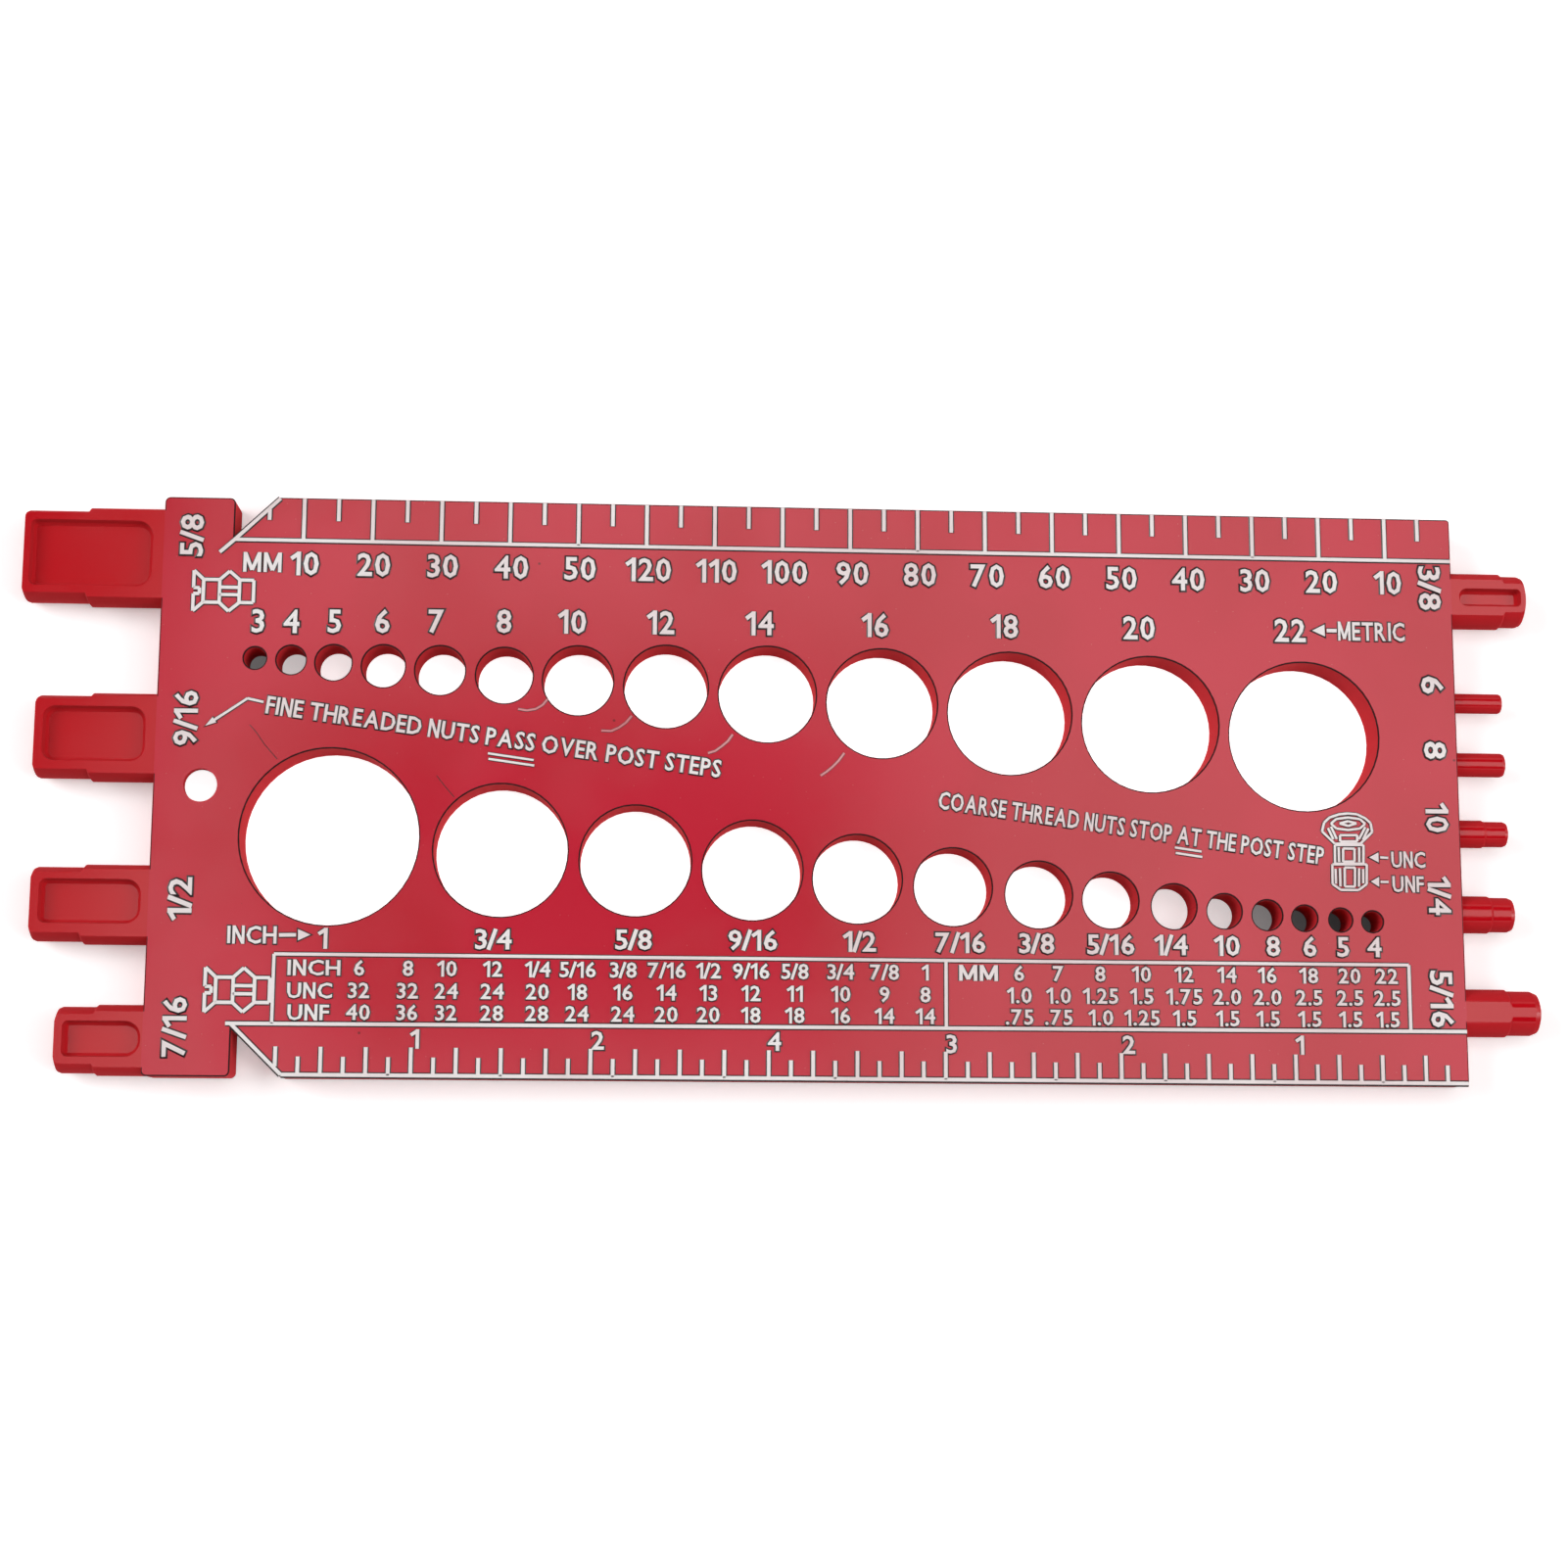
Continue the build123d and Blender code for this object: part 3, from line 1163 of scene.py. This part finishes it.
@dataclass
class FlowLines(MarkGroup):
    """Faint curved lines where the molten plastic met beside some holes, and two dark hairlines."""

    NAME = "flow_lines"
    LINE_WIDTH = 0.52
    RISE = 0.09
    ROOT = 0.03
    HAIR_WIDTH = 0.16
    HAIR_RISE = 0.02

    curves: tuple[Outline, ...] = (
        ((134.09, 54.86), (134.78, 53.98), (135.76, 53.39), (137.03, 53.15), (138.31, 53.35)),
        ((121.84, 52.59), (122.67, 51.56), (123.66, 50.82), (124.79, 50.30), (126.21, 50.35)),
        ((107.14, 50.06), (107.85, 49.03), (108.69, 48.30), (109.68, 47.56), (110.68, 47.26)),
        ((90.84, 47.54), (91.70, 46.37), (92.55, 45.49), (93.41, 44.76), (94.27, 44.17)),
    )
    hairlines: tuple[Outline, ...] = (
        ((176.77, 50.46), (175.75, 49.33), (174.57, 47.63), (172.68, 45.51)),
        ((149.8, 43.4), (148.6, 41.9), (147.2, 40.3)),
    )

    def lay(self, marks: Marks) -> None:
        """Raise the lines, which stand hardly above the face."""
        for curve in self.curves:
            marks.path(curve)
        hairs = Marks("hairlines", marks.case, self.HAIR_WIDTH, self.HAIR_RISE, self.ROOT)
        for curve in self.hairlines:
            hairs.path(curve)
        marks.parts += hairs.parts


@dataclass(frozen=True)
class FloorPatch:
    """Round patch of the floor under a hole, which carries painted light and shade for the floor seen through
    that hole.

    Attributes:
        from_right: Distance of its centre from the right end, in millimetres.
        height: Height of its centre above the lower edge, in millimetres.
        diameter: Diameter of the hole, in millimetres.
        glow: How bright it looks to the camera by itself: painted light where it is high, painted shade where
            it is low.
    """

    from_right: float
    height: float
    diameter: float
    glow: float = 0.85


@dataclass(frozen=True)
class Card:
    """A level black card, which the plate mirrors as a dark patch.

    Attributes:
        name: The card's name.
        place: Its middle, in metres.
        size: Its two sides, in metres.
    """

    name: str
    place: Triple
    size: Pair


@dataclass(frozen=True)
class Lamp:
    """A soft rectangular lamp.

    Attributes:
        name: The lamp's name.
        place: Its place, in metres.
        size: Its two sides, in metres.
        power: Its power, in watts.
        turn: Turn of a level lamp about Z, in degrees, or None for a lamp that points at the plate.
    """

    name: str
    place: Triple
    size: Pair
    power: float
    turn: float | None = None


@dataclass
class Studio:
    """Pale floor, soft lamps and the camera of the photograph.

    Each glow is how bright a part of the floor looks to the camera by itself. The floor's goes from
    floor_glow to far_glow between the two distances of glow_rises, in metres. The patches under the holes
    carry painted light and shade: a patch's own colour follows from its glow, and the two set how light or
    dark the floor seen through that hole looks.
    """

    floor_size: float = 6.0
    floor_drop: float = 0.0001
    floor_glow: float = 0.36
    far_glow: float = 1.0
    glow_rises: Pair = (0.25, 0.8)
    floor_grey: float = 0.93
    floor_roughness: float = 0.9
    patch_shade: float = 0.03
    patch_slope: float = 1.2
    patch_lift: float = 0.00004
    patch_margin: float = 0.2
    patch_sides: int = 32
    # Painted light and shade: each patch's glow and grey set how light or dark the floor under its hole
    # looks.
    patches: tuple[FloorPatch, ...] = (
        FloorPatch(176.4, 60.3, 3.2, 0.1), FloorPatch(171.2, 60.1, 4.2, 0.43),
        FloorPatch(165.1, 59.8, 5.2, 0.66), FloorPatch(157.9, 59.4, 6.2), FloorPatch(149.7, 58.9, 7.2),
        FloorPatch(140.4, 58.3, 8.2), FloorPatch(129.7, 57.7, 10.2), FloorPatch(116.9, 57.0, 12.2),
        FloorPatch(102.1, 56.1, 14.2), FloorPatch(85.3, 55.0, 16.2), FloorPatch(66.5, 53.8, 18.2),
        FloorPatch(45.7, 52.5, 20.2), FloorPatch(22.9, 51.0, 22.2), FloorPatch(164.9, 34.4, 25.6),
        FloorPatch(140.4, 32.7, 19.25), FloorPatch(121.0, 31.4, 16.1), FloorPatch(104.1, 30.2, 14.5),
        FloorPatch(88.9, 29.1, 12.9), FloorPatch(75.0, 28.1, 11.3), FloorPatch(62.5, 27.1, 9.7),
        FloorPatch(52.0, 26.4, 8.1, 0.8), FloorPatch(42.7, 25.6, 6.55, 0.58),
        FloorPatch(35.3, 25.0, 5.0, 0.5), FloorPatch(29.0, 24.5, 4.4, 0.15),
        FloorPatch(23.5, 24.1, 3.7, 0.04), FloorPatch(18.2, 23.9, 3.4, 0.02),
        FloorPatch(13.5, 23.7, 3.0, 0.03), FloorPatch(183.5, 41.6, 10.4, 0.9),
    )
    cards: tuple[Card, ...] = (
        Card("ceiling", (0.0, 0.0, 1.25), (3.0, 3.0)),
        Card("flag", (-0.05, 0.085, 0.78), (0.27, 0.17)),
    )
    card_colour: Colour = (0.01, 0.01, 0.01, 1.0)
    lamps: tuple[Lamp, ...] = (
        Lamp("overhead_panel", (0.173, 0.11, 0.8), (0.85, 0.58), 3.1, turn=-13.0),
        Lamp("left_lamp", (-1.1, 0.35, 0.9), (0.8, 0.8), 11.0),
        Lamp("right_lamp", (1.2, -0.3, 0.9), (0.8, 0.8), 8.5),
    )
    world_light: float = 0.3
    lens: float = 59.078
    sensor: float = 36.0
    clip: Pair = (0.01, 20.0)
    camera_place: Triple = (-24.54, -57.84, 375.02)
    camera_turn: Triple = (-0.15711923, 0.05456011, -0.00927435)

    def lay_floor(self) -> None:
        """Lay the floor, which is white to the camera and keeps the shadows."""
        floor = added(bpy.ops.mesh.primitive_plane_add, size=self.floor_size, location=ORIGIN)
        floor.data.transform(Matrix.Translation((0.0, 0.0, -self.floor_drop)))
        self._finish_floor(floor, "studio_floor", self.floor_grey, self.floor_glow, self.far_glow)

    def lay_patches(self) -> None:
        """Lay a round patch of floor under each hole, as bright as the hole looks in the photograph."""
        for number, patch in enumerate(self.patches, 1):
            spot = on_face((patch.from_right, patch.height))
            size = (patch.diameter / 2 + self.patch_margin) * MM
            place = Matrix.Translation((spot.x, spot.y, self.patch_lift - self.floor_drop))
            disc = added(bpy.ops.mesh.primitive_circle_add, vertices=self.patch_sides, radius=1.0,
                         fill_type="NGON", location=ORIGIN)
            disc.data.transform(place @ Matrix.Diagonal((size, size, 1.0, 1.0)))
            # Painted shade: a patch with little glow is given a dark grey of its own.
            grey = min(self.floor_grey, self.patch_shade + patch.glow * self.patch_slope)
            self._finish_floor(disc, f"floor_patch_{number:02d}", grey, patch.glow, patch.glow)

    def _finish_floor(self, floor: Piece, name: str, grey: float, glow: float, far_glow: float) -> None:
        """Give a piece of the floor its name, its matt finish and its glow to the camera.

        Args:
            floor: The piece of the floor.
            name: Its name.
            grey: Its own colour, from 0 for black to 1 for white.
            glow: How bright it looks to the camera by itself, near the object.
            far_glow: The same, far from the object, where the lamps give less light.
        """
        floor.name = floor.data.name = name
        material, desk, shader = new_material(name)
        place = desk.add("ShaderNodeTexCoord").outputs["Object"]
        distance = desk.add("ShaderNodeVectorMath", operation="LENGTH", Vector=place).outputs["Value"]
        here = desk.scaled(distance, self.glow_rises, (glow, far_glow))
        desk.fill(shader, Base_Color=(grey, grey, grey, 1.0), Roughness=self.floor_roughness,
                  Specular_IOR_Level=0.0, Emission_Color=WHITE,
                  Emission_Strength=desk.product(self._seen(desk), here))
        floor.data.materials.append(material)

    def hang_cards(self) -> None:
        """Hang the black cards, which share one finish."""
        material, desk, shader = new_material("black_card")
        desk.fill(shader, Base_Color=self.card_colour, Roughness=1.0, Specular_IOR_Level=0.0)
        for planned in self.cards:
            card = added(bpy.ops.mesh.primitive_plane_add, size=1.0, location=ORIGIN)
            card.name = planned.name
            size = Matrix.Diagonal((*planned.size, 1.0, 1.0))
            card.data.transform(Matrix.Translation(planned.place) @ size)
            card.data.materials.append(material)

    @staticmethod
    def _seen(desk: NodeDesk) -> Socket:
        """Tell the rays that show the background from those that light the object.

        Args:
            desk: The desk of the material or world.

        Returns:
            A socket that is 1 for a ray from the camera, from a reflection or through glass.
        """
        path = desk.add("ShaderNodeLightPath").outputs
        near = desk.worked("MAXIMUM", path["Is Camera Ray"], path["Is Glossy Ray"])
        return desk.worked("MAXIMUM", near, path["Is Transmission Ray"])

    def light_world(self) -> None:
        """Fill the room with soft light, and show it white behind the object."""
        world = bpy.context.scene.world or bpy.data.worlds.new("studio_world")
        bpy.context.scene.world = world
        world.use_nodes = True
        desk = NodeDesk(world.node_tree)
        strength = desk.scaled(self._seen(desk), (0.0, 1.0), (self.world_light, 1.0))
        desk.fill(world.node_tree.nodes["Background"], Color=WHITE, Strength=strength)

    def hang_lamps(self) -> None:
        """Hang the soft lamps."""
        for planned in self.lamps:
            lamp = added(bpy.ops.object.light_add, type="AREA", location=planned.place)
            lamp.name = planned.name
            lamp.data.shape = "RECTANGLE"
            lamp.data.size, lamp.data.size_y = planned.size
            lamp.data.energy = planned.power
            lamp.rotation_mode = "QUATERNION"
            if planned.turn is None:
                lamp.rotation_quaternion = (-Vector(planned.place)).to_track_quat("-Z", "Y")
            else:
                lamp.rotation_quaternion = Quaternion((0.0, 0.0, 1.0), math.radians(planned.turn))

    def set_camera(self) -> None:
        """Set the camera where the photograph was taken from."""
        camera = added(bpy.ops.object.camera_add, location=Vector(self.camera_place) * MM)
        turn = Vector(self.camera_turn)
        camera.rotation_mode = "QUATERNION"
        camera.rotation_quaternion = Quaternion(turn.normalized(), -turn.length)
        camera.data.sensor_width = self.sensor
        camera.data.lens = self.lens
        camera.data.clip_start, camera.data.clip_end = self.clip
        bpy.context.scene.camera = camera

    def build(self) -> None:
        """Set the floor, light and camera."""
        bpy.context.scene.view_settings.view_transform = "Standard"
        self.lay_floor()
        self.lay_patches()
        self.light_world()
        self.hang_cards()
        self.hang_lamps()
        self.set_camera()


def main() -> None:
    """Build the gauge's finish, its raised marks and the studio."""
    logging.basicConfig(level=logging.INFO, format="%(message)s")
    Studio().build()
    GaugePlate().dress()
    stock = BarStock()
    case, pale = TypeCase(stock), PaleMark().material()
    for group in (MetricScale(), InchScale(), HoleLabels(), SizeTable(), PostLabels(), ScrewSketches(),
                  PostSketch(), UsageLines()):
        group.build(case, pale)
    faint = PaleMark(name="flow_line", top_colour=(0.72, 0.30, 0.32, 1.0),
                     rubbed_colour=(0.60, 0.16, 0.18, 1.0), pale_from=0.06, pale_to=0.08)
    FlowLines().build(case, faint.material())
    case.put_away()
    stock.put_away()


if __name__ == "__main__":
    main()
